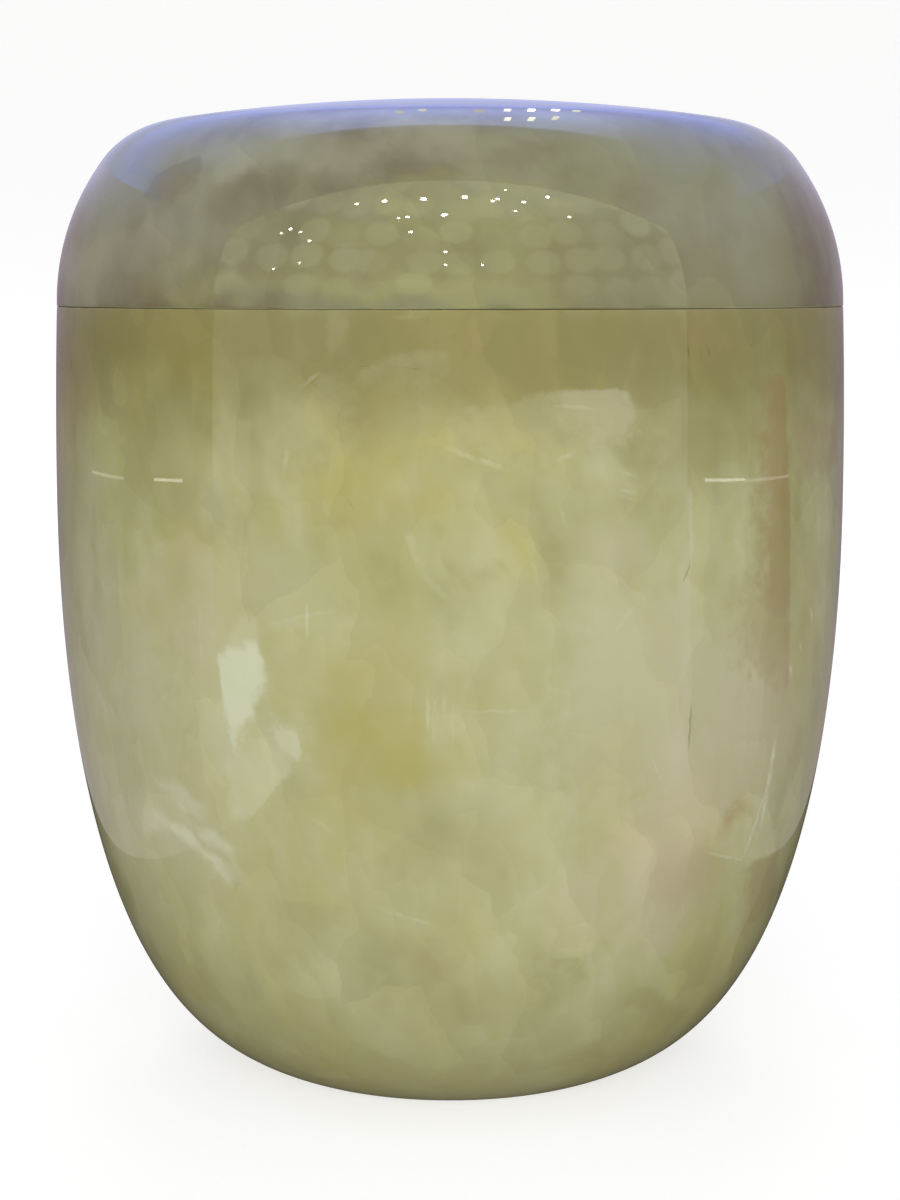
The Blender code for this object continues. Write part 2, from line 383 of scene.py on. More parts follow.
FISSURES = (
    Streak((689, 347), (690, 357), 1.6, 0.55),
    Streak((708, 350), (709, 358), 1.6, 0.45),
    Streak((683, 585), (690, 562), 1.0, 0.40),
    Streak((692, 700), (689, 752), 1.4, 0.38),
    Streak((126, 418), (127, 420), 1.2, 0.45),
    Streak((350, 502), (351, 504), 1.2, 0.30),
    Streak((362, 366), (370, 366), 1.0, 0.30),
    Streak((406, 367), (420, 368), 1.0, 0.30),
)
# Painted reflection: the dark curved outline of an arch mirrored high on the lid at the left
LID_PAINTED_REFLECTION_FACETS = (
    Facet(((143, 195), (160, 172), (200, 154), (205, 168), (190, 192), (160, 202)),
          (0.8, 0.8, 2, 4, 5, 1.5), 0.55),
)
LID_DARK_PATCHES = (
    Patch((370, 166), (70, 16), 0.35, 0.9, 8),
    Patch((520, 160), (70, 16), 0.35, 0.9, -3),
    Patch((235, 200), (30, 26), 0.35),
    Patch((630, 185), (60, 26), 0.30, 1.0, 20),
    Patch((790, 185), (22, 20), 0.40),
    Patch((700, 240), (30, 50), 0.20),
    Patch((600, 262), (130, 55), 0.45),
    Patch((390, 252), (210, 36), 0.40),
)
LID_GREENS = (
    Patch((450, 262), (215, 56), 0.85, 0.6),
    Patch((470, 205), (150, 22), 0.55, 0.8),
    Patch((205, 285), (70, 32), 0.60),
)
LID_PALES = (
    Patch((330, 150), (170, 42), 0.42),
    Patch((110, 275), (75, 45), 0.32),
    Patch((420, 150), (130, 38), 0.40),
    Patch((100, 270), (60, 45), 0.45),
    Patch((150, 245), (60, 45), 0.38),
)

# Glints of the lamps in the lid: where each shows, and its lamp's radius in mm
GLINTS = (
    ((282, 233), 9), ((291, 229), 13), ((301, 232), 9), ((310, 241), 12), ((274, 269), 9), ((300, 263), 8),
    ((357, 204), 12), ((385, 201), 16), ((424, 199), 20), ((399, 218), 9), ((408, 217), 13), ((411, 232), 14),
    ((445, 215), 20), ((446, 252), 13), ((446, 265), 9), ((465, 197), 18), ((493, 201), 11), ((498, 199), 13),
    ((524, 202), 14), ((548, 197), 14), ((516, 211), 10), ((570, 217), 11), ((483, 265), 10), ((506, 190), 8),
)

# Spots of light in the crown: where each shows, its half sizes under the hood in mm, and its brightness
SPOTS = (
    ((400, 112), (1.2, 7), 0.25), ((423, 110), (1.2, 7), 0.30), ((480, 111), (1.6, 8), 0.22),
    ((508, 110), (1.1, 10), 0.55), ((508, 119), (1.1, 5), 0.90), ((532, 110), (1.2, 11), 1.00),
    ((532, 119), (1.2, 6), 0.80), ((556, 110), (1.4, 10), 0.80), ((556, 118), (1.1, 6), 0.50),
    ((577, 111), (1.4, 8), 0.28),
)

# Facets by the name that they are painted under: their colour, how much softer than noted they are painted,
# their least softness in mm, and the share of the noted amount
Coat = namedtuple("Coat", "name colour softer least share facets")
BODY_FACETS = (
    Coat("honey", HONEY, 1.7, 1.8, 0.60, HONEY_FACETS),
    Coat("pale", CREAM, 1.7, 1.8, 0.42, PALE_FACETS),
    Coat("haze", HAZE, 1.3, 0.8, 0.75, HAZE_FACETS),
    Coat("olive", OLIVE, 1.6, 1.5, 0.60, OLIVE_FACETS),
    Coat("brown", BROWN, 1.3, 1.2, 0.85, BROWN_FACETS),
    Coat("gleam", GLEAM, 1.0, 0.6, 0.90, BRIGHT_FACETS),
)
# The lid's one facet is a painted reflection
LID_FACETS = (Coat("dark", LID_DARK, 1.0, 0.8, 1.00, LID_PAINTED_REFLECTION_FACETS),)

# Veins are painted at a share of the noted amount. A pixel of a streak's noted width is so many mm of stone.
VEIN_SHARE = 0.60
STREAK_PIXEL = 0.26

# How deep inside a facet painting stops counting, how far beside a streak it reaches and how far tones drift
FAR_IN = 6.0
STREAK_REACH = 2.5
DRIFT_REACH = 26


def arc(centre, radius, start, end, steps):
    """Points along an arc, both ends included. Its angles count up from the outward direction."""
    angles = [start + (end - start) * step / steps for step in range(steps + 1)]
    return [(centre[0] + radius * cos(angle), centre[1] + radius * sin(angle)) for angle in angles]


def line(start, end, steps):
    """Points from start to end, without start."""
    shares = [step / steps for step in range(1, steps + 1)]
    return [tuple(a + (b - a) * share for a, b in zip(start, end)) for share in shares]


def taper_depth():
    """Depth below the widest circle at which the side would close on the axis, had the urn no foot."""
    left = 1 - (FOOT_RADIUS / WIDEST_RADIUS) ** SIDE_POWER
    return WIDEST_HEIGHT / left ** (1 / DROP_POWER)


def taper_point(turn, inset=0):
    """A point on the side, or inset from it along its normal, and that normal, at a turn in radians."""
    depth = taper_depth() * sin(turn) ** (2 / DROP_POWER)
    radius = WIDEST_RADIUS * cos(turn) ** (2 / SIDE_POWER)
    across = SIDE_POWER * (radius / WIDEST_RADIUS) ** (SIDE_POWER - 1) / WIDEST_RADIUS
    down = DROP_POWER * (depth / taper_depth()) ** (DROP_POWER - 1) / taper_depth()
    normal = (across / hypot(across, down), -down / hypot(across, down))
    return (radius - inset * normal[0], WIDEST_HEIGHT - depth - inset * normal[1]), normal


def turn_at(height, inset):
    """The turn at which the side, or a surface inset from it, comes down to a height."""
    low, high = 0, pi / 2
    for _ in range(HALVINGS):
        turn = (low + high) / 2
        if taper_point(turn, inset)[0][1] > height:
            low = turn
        else:
            high = turn
    return turn


def upper_point(share):
    """A point on the side above its widest circle, at a share of the way up from it to the rim."""
    return WIDEST_RADIUS - RIM_DRAW_IN * share**2, WIDEST_HEIGHT + share * UPPER_HEIGHT


def body_profile():
    """The body's outline, from the centre of the chamber's floor over the rim to the centre underneath."""
    floor_turn = turn_at(FLOOR, WALL)
    inside = line((0, FLOOR), taper_point(floor_turn, WALL)[0], 6)
    for step in range(INNER_STEPS - 1, -1, -1):
        inside.append(taper_point(floor_turn * step / INNER_STEPS, WALL)[0])
    inside.append((MOUTH_RADIUS, BODY_HEIGHT - RING_DEPTH - RING_CLEARANCE))
    inside.append((MOUTH_RADIUS, BODY_HEIGHT - MOUTH_BEVEL))
    inside.append((MOUTH_RADIUS + MOUTH_BEVEL, BODY_HEIGHT))
    bevel_share = 1 - SEAM_BEVEL / UPPER_HEIGHT
    arris = (SEAM_RADIUS - ARRIS_RADIUS, BODY_HEIGHT - ARRIS_RADIUS)
    outside = line(inside[-1], (SEAM_RADIUS - 2 * SEAM_BEVEL, BODY_HEIGHT), 3)
    outside += arc(arris, ARRIS_RADIUS, pi / 2, 0, ARRIS_STEPS)
    for step in range(UPPER_STEPS - 1, 0, -1):
        outside.append(upper_point(bevel_share * step / UPPER_STEPS))
    foot_turn = turn_at(FOOT_EDGE_RADIUS, FOOT_EDGE_RADIUS)
    for step in range(SIDE_STEPS):
        outside.append(taper_point(foot_turn * step / SIDE_STEPS)[0])
    centre, normal = taper_point(foot_turn, FOOT_EDGE_RADIUS)
    outside += arc(centre, FOOT_EDGE_RADIUS, atan2(normal[1], normal[0]), -pi / 2, FOOT_STEPS)
    return [(0, FLOOR)] + inside + outside + line(outside[-1], (0, 0), 8)


def shoulder_centre(flank, crown):
    """Centre of the shoulder's arc, which touches the flank's arc and the crown's arc from inside."""
    to_flank = FLANK_RADIUS - SHOULDER_RADIUS
    to_crown = CROWN_RADIUS - SHOULDER_RADIUS
    apart = hypot(crown[0] - flank[0], crown[1] - flank[1])
    along = (to_flank**2 - to_crown**2 + apart**2) / (2 * apart)
    aside = sqrt(to_flank**2 - along**2)
    unit = ((crown[0] - flank[0]) / apart, (crown[1] - flank[1]) / apart)
    return flank[0] + along * unit[0] - aside * unit[1], flank[1] + along * unit[1] + aside * unit[0]


def lid_profile():
    """The lid's outline above its seat, from the top of its crown round to the centre of its hollow."""
    flank = (SEAM_RADIUS - FLANK_RADIUS, 0)
    crown = (0, LID_HEIGHT - CROWN_RADIUS)
    shoulder = shoulder_centre(flank, crown)
    to_flank = atan2(shoulder[1] - flank[1], shoulder[0] - flank[0])
    to_crown = atan2(shoulder[1] - crown[1], shoulder[0] - crown[0])
    bevel_angle = asin(ARRIS_RADIUS / FLANK_RADIUS)
    points = arc(crown, CROWN_RADIUS, pi / 2, to_crown, CROWN_STEPS)[:-1]
    points[0] = (0, LID_HEIGHT)
    points += arc(shoulder, SHOULDER_RADIUS, to_crown, to_flank, SHOULDER_STEPS)[:-1]
    points += arc(flank, FLANK_RADIUS, to_flank, bevel_angle, FLANK_STEPS)[:-1]
    skirt = ARRIS_RADIUS - SKIRT_DROP
    points += arc((SEAM_RADIUS - ARRIS_RADIUS, skirt), ARRIS_RADIUS, 0, -pi / 2, ARRIS_STEPS)
    points += [(SEAM_RADIUS - 3 * SEAM_BEVEL, -SKIRT_DROP), (SEAM_RADIUS - 4 * SEAM_BEVEL, 0)]
    points += line(points[-1], (RING_RADIUS, 0), 3)
    points += [(RING_RADIUS, RING_BEVEL - RING_DEPTH), (RING_RADIUS - RING_BEVEL, -RING_DEPTH)]
    points.append((RING_RADIUS - RING_WALL, -RING_DEPTH))
    ceiling_radius = CROWN_RADIUS - CROWN_WALL
    fillet_x = RING_RADIUS - RING_WALL - HOLLOW_FILLET
    fillet_end = acos(fillet_x / (ceiling_radius - HOLLOW_FILLET))
    fillet = (fillet_x, crown[1] + (ceiling_radius - HOLLOW_FILLET) * sin(fillet_end))
    points += arc(fillet, HOLLOW_FILLET, 0, fillet_end, 8)
    points += arc(crown, ceiling_radius, fillet_end, pi / 2, 10)[1:-1]
    return points + [(0, LID_HEIGHT - CROWN_WALL)]


def wave(direction, height, seed):
    """How far in hand polish leaves the surface at a place, in metres, never outwards."""
    place = Vector((direction[0], direction[1], height / WIDEST_RADIUS)) * (WIDEST_RADIUS / WAVE_LENGTH)
    return WAVE_DEPTH * (0.5 + 0.5 * noise.noise(place + Vector((seed, 0, 0))))


def chip(direction, height, seam, seed):
    """How deep the seam's arris is chipped at a place, in metres."""
    near = max(0.0, 1 - abs(height - seam) / CHIP_REACH)
    place = Vector((direction[0], direction[1], height / WIDEST_RADIUS)) * 26
    worn = noise.noise(place + Vector((0, seed, 0))) + 0.5 * noise.noise(place * 3 + Vector((seed, 0, 0)))
    return CHIP_DEPTH * near * max(0.0, worn - 0.30) / 0.5


def turned(name, profile, base, seam, seed):
    """A mesh of the profile turned about Z at a base height. Points outside the walls take wave and chips."""
    verts = []
    rows = []
    last = len(profile) - 1
    for index, (radius, height) in enumerate(profile):
        if radius < 1e-6:
            rows.append([len(verts)])
            verts.append((0, 0, base + height))
            continue
        outer = radius > MOUTH_RADIUS + 0.004 or (name == "urn_lid_stone" and index < CROWN_STEPS)
        outer = outer or (name == "urn_body_stone" and index > last - FOOT_STEPS - SIDE_STEPS)
        row = []
        for step in range(TURN_STEPS):
            angle = 2 * pi * step / TURN_STEPS
            direction = (sin(angle), -cos(angle))
            inward = 0.0
            if outer and 0.0005 < height + base:
                inward = wave(direction, base + height, seed) + chip(direction, base + height, seam, seed)
            row.append(len(verts))
            verts.append((direction[0] * (radius - inward), direction[1] * (radius - inward), base + height))
        rows.append(row)
    faces = []
    for upper, lower in zip(rows, rows[1:]):
        for step in range(TURN_STEPS):
            after = (step + 1) % TURN_STEPS
            if len(upper) == 1:
                faces.append((upper[0], lower[step], lower[after]))
            elif len(lower) == 1:
                faces.append((upper[step], lower[0], upper[after]))
            else:
                faces.append((upper[step], lower[step], lower[after], upper[after]))
    mesh = bpy.data.meshes.new(name)
    mesh.from_pydata(verts, [], faces)
    mesh.validate()
    mesh.shade_smooth()
    mesh.set_sharp_from_angle(angle=radians(32))
    piece = bpy.data.objects.new(name, mesh)
    bpy.context.scene.collection.objects.link(piece)
    return piece


class Photograph:
    """What the camera sees of the stone. It carries places noted on the photograph onto the stone."""

    def __init__(self, pieces):
        bpy.context.view_layer.update()
        self.pieces = pieces

    def ray(self, across, down):
        """The direction in which the camera sees a place."""
        forward = (AIM - EYE).normalized()
        aside = Vector((1, 0, 0))
        upward = aside.cross(forward)
        right, above = across - IMAGE_MIDDLE[0], IMAGE_MIDDLE[1] - down
        return (FOCAL_PIXELS * forward + right * aside + above * upward).normalized()

    def meet(self, across, down):
        """Where a place lies on the stone, and the stone's smooth normal there.

        A place beside the outline counts as the nearest one on its row that is on the stone.
        """
        ray = self.ray(across, down)
        met = []
        for piece in self.pieces:
            found, place, _, index = piece.ray_cast(EYE, ray)
            if found:
                met.append(((place - EYE).length, place, piece.data, index))
        if not met:
            return self.meet(across + (1 if across < IMAGE_MIDDLE[0] else -1), down)
        _, place, mesh, index = min(met, key=lambda each: each[0])
        corners = [mesh.vertices[vertex] for vertex in mesh.polygons[index].vertices]
        shares = poly_3d_calc([corner.co for corner in corners], place)
        normal = sum((share * corner.normal for share, corner in zip(shares, corners)), Vector())
        return place, normal.normalized()

    def mirrored(self, across, down):
        """Where a place lies on the stone, and the direction that the polish mirrors there."""
        place, normal = self.meet(across, down)
        return place, self.ray(across, down).reflect(normal)

    def flat(self, across, down):
        """A place in mm round and up."""
        place = self.meet(across, down)[0]
        return ROUND_RADIUS * atan2(place.x, -place.y), MM * place.z

    def patch(self, mark):
        (across, down), (wide, high) = mark.middle, mark.half
        left, right = self.flat(across - wide, down)[0], self.flat(across + wide, down)[0]
        top, foot = self.flat(across, down - high)[1], self.flat(across, down + high)[1]
        middle = ((left + right) / 2, self.flat(across, down)[1])
        return mark._replace(middle=middle, half=((right - left) / 2, (top - foot) / 2))

    def facet(self, mark, coat):
        softness = [max(coat.softer * soft, coat.least) for soft in mark.softness]
        corners = [self.flat(*corner) for corner in mark.corners]
        return Facet(corners, softness, coat.share * mark.amount)

    def streak(self, mark, share):
        start, end = self.flat(*mark.start), self.flat(*mark.end)
        return Streak(start, end, STREAK_PIXEL * mark.width, share * mark.amount)


class Graph:
    """Adds nodes to one tree and joins them up."""

    def __init__(self, tree):
        self.tree = tree

    def put(self, socket, value):
        if isinstance(value, bpy.types.NodeSocket):
            self.tree.links.new(value, socket)
        elif value is not None:
            socket.default_value = value

    def node(self, kind, **settings):
        node = self.tree.nodes.new(kind)
        for name, value in settings.items():
            setattr(node, name, value)
        return node

    def math(self, operation, first, second=None, third=None):
        node = self.node("ShaderNodeMath", operation=operation)
        for socket, value in zip(node.inputs, (first, second, third)):
            self.put(socket, value)
        return node.outputs[0]

    def vector(self, operation, first, second=None):
        node = self.node("ShaderNodeVectorMath", operation=operation)
        self.put(node.inputs[0], first)
        self.put(node.inputs[1], second)
        return node.outputs[1 if operation in ("DOT_PRODUCT", "LENGTH", "DISTANCE") else 0]

    def ease(self, value, start, end, low=0.0, high=1.0):
        node = self.node("ShaderNodeMapRange", interpolation_type="SMOOTHSTEP", clamp=False)
        for socket, given in zip(node.inputs, (value, start, end, low, high)):
            self.put(socket, given)
        return node.outputs[0]

    def mix(self, amount, first, second):
        node = self.node("ShaderNodeMix", data_type="RGBA")
        self.put(node.inputs[0], amount)
        for socket, value in ((node.inputs[6], first), (node.inputs[7], second)):
            self.put(socket, value if isinstance(value, bpy.types.NodeSocket) else (*value, 1))
        return node.outputs[2]

    def scaled(self, tone, share):
        node = self.node("ShaderNodeVectorMath", operation="SCALE")
        self.put(node.inputs[0], tone)
        self.put(node.inputs["Scale"], share)
        return node.outputs[0]

    def noise(self, place, scale, detail=4, roughness=0.5, distortion=0.0):
        node = self.node("ShaderNodeTexNoise", normalize=True)
        self.put(node.inputs["Vector"], place)
        self.put(node.inputs["Scale"], scale)
        self.put(node.inputs["Detail"], detail)
        self.put(node.inputs["Roughness"], roughness)
        self.put(node.inputs["Distortion"], distortion)
        return node.outputs["Fac"]

    def broken(self, place, scale):
        """Cells that each have their own tone and a slope across them, about -0.5 to 0.5."""
        node = self.node("ShaderNodeTexVoronoi")
        self.put(node.inputs["Vector"], place)
        self.put(node.inputs["Scale"], scale)
        across = self.vector("SUBTRACT", place, node.outputs["Position"])
        slope = self.vector("DOT_PRODUCT", across, Vector((0.62, 0.45, 0.64)) * scale)
        own = self.math("SUBTRACT", node.outputs["Color"], 0.5)
        return self.math("MULTIPLY_ADD", own, 0.9, self.math("MULTIPLY", slope, 0.6))

    def painted(self, name):
        """The colour, or the three values, painted on the mesh under a name."""
        return self.node("ShaderNodeAttribute", attribute_name=name)

    def edged(self, name, ragged):
        """How much of the facets painted under a name shows. Their edges are made ragged."""
        axes = self.node("ShaderNodeSeparateXYZ")
        self.put(axes.inputs[0], self.painted(name).outputs["Vector"])
        inside = self.ease(self.math("ADD", axes.outputs[0], ragged), -0.5, 0.5)
        return self.math("MULTIPLY", inside, axes.outputs[1])

    def streaked(self, name, ragged):
        """How much of the streaks painted under a name shows."""
        axes = self.node("ShaderNodeSeparateXYZ")
        self.put(axes.inputs[0], self.painted(name).outputs["Vector"])
        across = self.math("MULTIPLY", self.math("ADD", axes.outputs[0], ragged), axes.outputs[2])
        return self.math("MULTIPLY", self.ease(self.math("ABSOLUTE", across), 1.15, 0.25), axes.outputs[1])


def smooth(value, start, end, low=0.0, high=1.0):
    """Eases from low to high while the value goes from start to end."""
    share = np.clip((value - start) / (end - start), 0, 1)
    return low + (high - low) * share * share * (3 - 2 * share)


def over(tone, colour, amount):
    """The tones with an amount of a colour laid over each."""
    return tone + (np.array(colour) - tone) * amount[:, None]


def fractal(places, scale, squeeze, shift, octaves, roughness):
    """Cloudy noise at each place, about 0 to 1."""
    span = sum(roughness**octave for octave in range(octaves))
    moved = Vector(shift)
    fall = -log2(roughness)
    values = []
    for x, y, z in places:
        at = Vector((x, y, z * squeeze)) * scale + moved
        values.append(noise.fractal(at, fall, 2.0, octaves, noise_basis="PERLIN_ORIGINAL"))
    return 0.5 + 0.5 * np.array(values) / span


def oval(flat, mark):
    """How much of a soft-edged oval shows at each place."""
    turn = radians(mark.turn)
    across, along = flat[:, 0] - mark.middle[0], flat[:, 1] - mark.middle[1]
    wide = (across * cos(turn) + along * sin(turn)) / mark.half[0]
    high = (along * cos(turn) - across * sin(turn)) / mark.half[1]
    return smooth(np.hypot(wide, high), 1.15, 1.15 - mark.soft, 0, mark.amount)


def ovals(flat, marks, photograph):
    """How much of the strongest of some noted ovals shows at each place."""
    return np.max([oval(flat, photograph.patch(mark)) for mark in marks], axis=0)


def facet_depth(flat, mark):
    """How far inside a convex many-sided mark each place is, in widths of its nearest side's fade."""
    middle = np.mean(mark.corners, axis=0)
    depth = np.full(len(flat), FAR_IN)
    for index, (corner, soft) in enumerate(zip(mark.corners, mark.softness)):
        after = mark.corners[(index + 1) % len(mark.corners)]
        normal = np.array((corner[1] - after[1], after[0] - corner[0]))
        normal = normal / hypot(*normal)
        if normal @ (middle - corner) < 0:
            normal = -normal
        depth = np.minimum(depth, (flat @ normal - normal @ np.array(corner)) / soft)
    return np.maximum(depth, -FAR_IN)


def paint_facets(mesh, name, flat, marks):
    """Paints on the mesh how deep inside the nearest of some facets a vertex is, and that one's strength."""
    depths = np.array([facet_depth(flat, mark) for mark in marks])
    amounts = np.array([mark.amount for mark in marks])[np.argmax(depths, axis=0)]
    paint_values(mesh, name, np.stack((depths.max(axis=0), amounts, 0 * amounts), axis=1))


def paint_values(mesh, name, values):
    """Paints three values a vertex on the mesh."""
    painted = mesh.attributes.new(name, "FLOAT_VECTOR", "POINT")
    painted.data.foreach_set("vector", values.astype(np.float32).ravel())


def along_streak(flat, mark):
    """How far across a streak each place is, how far along it from -1 to 1, and how far from it."""
    run = np.array(mark.end) - mark.start
    half = hypot(*run) / 2
    from_middle = flat - (np.array(mark.start) + mark.end) / 2
    along = (from_middle @ run) / (2 * half * half)
    across = (from_middle[:, 0] * run[1] - from_middle[:, 1] * run[0]) / (2 * half)
    return across, along, np.hypot(across, np.maximum(np.abs(along) - 1, 0) * half)


def paint_streaks(mesh, name, flat, marks):
    """Paints on the mesh how far across the nearest streak a vertex is, its strength and its fineness."""
    found = [along_streak(flat, mark) for mark in marks]
    nearest = np.argmin([away for _, _, away in found], axis=0)
    every = np.arange(len(flat))
    across = np.array([across for across, _, _ in found])[nearest, every]
    along = np.abs(np.array([along for _, along, _ in found])[nearest, every])
    strength = np.array([mark.amount for mark in marks])[nearest]
    strength *= smooth(along, 1.1, 0.4) * (np.abs(across) < STREAK_REACH)
    fineness = 1 / np.array([mark.width for mark in marks])[nearest]
    paint_values(mesh, name, np.stack((across, strength, fineness), axis=1))


def apart(first, second):
    """Whether two streaks are far enough from each other to be painted under one name."""
    shares = np.linspace(0, 1, 12)[:, None]
    places = np.array(first.start) + shares * (np.array(first.end) - first.start)
    return min(along_streak(places, second)[2]) > 2 * STREAK_REACH


def streak_sets(marks):
    """The streaks in sets, so that no streak comes near another of its set."""
    sets = []
    for mark in marks:
        roomy = [chosen for chosen in sets if all(apart(mark, other) for other in chosen)]
        if roomy:
            roomy[0].append(mark)
        else:
            sets.append([mark])
    return sets


def body_tone(flat, clouds, wisps, photograph):
    """The body's soft tones: honey and cream clouds, olive towards the top and the foot, and soft patches.
    Towards the top the olive is partly painted shade under the lid; some patches are painted reflection.
    """
    up = flat[:, 1]
    tone = over(np.tile(HONEY, (len(flat), 1)), BASE, smooth(clouds, 0.36, 0.50, 0.3, 1.0))
    tone = over(tone, CREAM, smooth(clouds, 0.50, 0.72, 0, 0.6))
    tone = over(tone, CREAM, smooth(wisps, 0.52, 0.72, 0, 0.40))
    tone = over(tone, OLIVE, smooth(wisps, 0.47, 0.30, 0, 0.26))
    tone = over(tone, CREAM, smooth(up, 150, 110, 0, 0.30))
    tone = over(tone, HONEY, ovals(flat, HONEY_PATCHES, photograph))
    # The haze patches low at the left are painted reflection; the others are the stone's own haze
    tone = over(tone, HAZE, ovals(flat, HAZE_PATCHES, photograph))
    tone = over(tone, CREAM, ovals(flat, CREAM_PATCHES, photograph))
    tone = over(tone, BLUSH, ovals(flat, BLUSH_PATCHES, photograph))
    # Partly painted shade, partly the stone's own olive: darker towards the rim, under the lid
    tone = over(tone, OLIVE, smooth(up, 158, 190, 0, 0.78))
    tone = over(tone, OLIVE, smooth(up, 50, 5, 0, 0.34))
    tone = over(tone, OLIVE, ovals(flat, OLIVE_PATCHES, photograph))
    tone = over(tone, BROWN, ovals(flat, BROWN_PATCHES, photograph))
    # Painted reflection: pale gleams where the mirrored side bands end, low at the left
    return over(tone, GLEAM, ovals(flat, PAINTED_REFLECTION_PATCHES, photograph))


def lid_tone(flat, clouds, wisps, photograph):
    """The lid's soft tones: dim and clouded, greener low at the front."""
    tone = over(np.tile(LID_DARK, (len(flat), 1)), LID_BASE, smooth(clouds, 0.36, 0.56))
    tone = over(tone, LID_HAZE, smooth(clouds, 0.52, 0.78, 0, 0.6))
    tone = over(tone, LID_HAZE, smooth(wisps, 0.55, 0.76, 0, 0.35))
    tone = over(tone, LID_GREEN, ovals(flat, LID_GREENS, photograph))
    tone = over(tone, LID_PALE, ovals(flat, LID_PALES, photograph))
    return over(tone, LID_DARK, ovals(flat, LID_DARK_PATCHES, photograph))


def paint(piece, lid, photograph, veins):
    """Paints the stone's soft tones, its facets, its streaks and its warped grain on the mesh. Among the
    tones and facets are painted shade and painted reflection.
    """
    mesh = piece.data
    places = np.empty(len(mesh.vertices) * 3)
    mesh.vertices.foreach_get("co", places)
    places = places.reshape(-1, 3)
    shifts = (0, 31.7, 77.3)
    drift = np.stack([fractal(places, 70, 1, (0, 0, shift), 4, 0.6) for shift in shifts], axis=1) - 0.5
    turns = np.arctan2(places[:, 0], -places[:, 1])
    flat = np.stack((ROUND_RADIUS * turns, MM * places[:, 2]), axis=1)
    soft = flat + DRIFT_REACH * drift[:, :2]
    clouds = fractal(places, 22, 0.8, (5.2, 1.3, 9.1 if lid else 0.4), 5, 0.58)
    wisps = fractal(places + 0.004 * drift, 75, 0.45, (0.2, 7.1, 0), 4, 0.6)
    tone = (lid_tone if lid else body_tone)(soft, clouds, wisps, photograph)
    colour = np.concatenate((tone, np.ones((len(tone), 1))), axis=1).astype(np.float32)
    mesh.attributes.new("tone", "FLOAT_COLOR", "POINT").data.foreach_set("color", colour.ravel())
    for coat in LID_FACETS if lid else BODY_FACETS:
        paint_facets(mesh, coat.name, flat, [photograph.facet(mark, coat) for mark in coat.facets])
    if not lid:
        for index, marks in enumerate(veins):
            paint_streaks(mesh, f"veins_{index}", flat, marks)
        paint_streaks(mesh, "fissures", flat, [photograph.streak(mark, 1) for mark in FISSURES])
    paint_values(mesh, "bent", (places + drift * (0.009, 0.009, 0.012)) * (1, 1, 0.55))


def stone(name, lid, veins):
    """Polished onyx: painted tones, broken cells, facets and veins under a clear gloss."""
    material = bpy.data.materials.new(name)
    material.use_nodes = True
    graph = Graph(material.node_tree)
    shader = material.node_tree.nodes["Principled BSDF"]
    place = graph.node("ShaderNodeTexCoord").outputs["Object"]
    bent = graph.painted("bent").outputs["Vector"]
    ripple = graph.noise(place, RIPPLE, 3, 0.6)
    ragged = graph.math("MULTIPLY_ADD", ripple, 1.6, -0.8)
    broad = graph.math("MULTIPLY_ADD", ragged, 0.15, graph.broken(bent, BROAD_CELLS))
    fine = graph.broken(graph.vector("ADD", bent, (0.3, 0, 0)), FINE_CELLS)
    tone = graph.painted("tone").outputs["Color"]
    tone = graph.scaled(tone, graph.ease(broad, -0.55, 0.55, 0.95, 1.05))
    if lid:
        tone = graph.mix(graph.ease(fine, 0.15, 0.55, 0, 0.12), tone, LID_HAZE)
    else:
        tone = graph.mix(graph.ease(fine, -0.15, -0.55, 0, 0.12), tone, HONEY)
        tone = graph.scaled(tone, graph.ease(fine, 0.10, 0.55, 1.0, 1.05))
    for coat in LID_FACETS if lid else BODY_FACETS:
        tone = graph.mix(graph.edged(coat.name, ragged), tone, coat.colour)
    if not lid:
        patchy = graph.ease(ripple, 0.36, 0.56, 0.35, 1.0)
        for index in range(len(veins)):
            shown = graph.streaked(f"veins_{index}", ragged)
            tone = graph.mix(graph.math("MULTIPLY", shown, patchy), tone, GLEAM)
        tone = graph.mix(graph.streaked("fissures", ragged), tone, FISSURE)
    graph.put(shader.inputs["Base Color"], tone)
    graph.put(shader.inputs["Roughness"], graph.ease(ripple, 0.3, 0.7, *POLISHED))
    shader.inputs["IOR"].default_value = STONE_IOR
    shader.inputs["Subsurface Weight"].default_value = TRANSLUCENCY
    shader.inputs["Subsurface Radius"].default_value = SCATTER_COLOUR
    shader.inputs["Subsurface Scale"].default_value = SCATTER_DEPTH
    return material


def honed(name, colour):
    """The same stone where it is cut but not polished."""
    material = bpy.data.materials.new(name)
    material.use_nodes = True
    graph = Graph(material.node_tree)
    shader = material.node_tree.nodes["Principled BSDF"]
    place = graph.node("ShaderNodeTexCoord").outputs["Object"]
    clouds = graph.noise(place, 24, 7, 0.58, 0.5)
    rings = graph.noise(graph.vector("MULTIPLY", place, (30, 30, 900)), 1.0, 2, 0.5)
    tone = graph.mix(graph.ease(clouds, 0.3, 0.75), tuple(0.75 * c for c in colour), CREAM)
    tone = graph.mix(graph.ease(rings, 0.5, 0.8, 0, 0.3), tone, HAZE)
    graph.put(shader.inputs["Base Color"], tone)
    graph.put(shader.inputs["Roughness"], graph.ease(rings, 0.3, 0.7, *HONED))
    shader.inputs["IOR"].default_value = STONE_IOR
    bump = graph.node("ShaderNodeBump")
    bump.inputs["Strength"].default_value = 0.15
    bump.inputs["Distance"].default_value = 0.0003
    graph.put(bump.inputs["Height"], rings)
    graph.put(shader.inputs["Normal"], bump.outputs[0])
    return material


def give_materials(piece, polished, plain, is_plain):
    """Polished stone outside, and plain stone on the faces that is_plain picks by middle and normal."""
    piece.data.materials.append(polished)
    piece.data.materials.append(plain)
    for face in piece.data.polygons:
        face.material_index = 1 if is_plain(face.center, face.normal) else 0


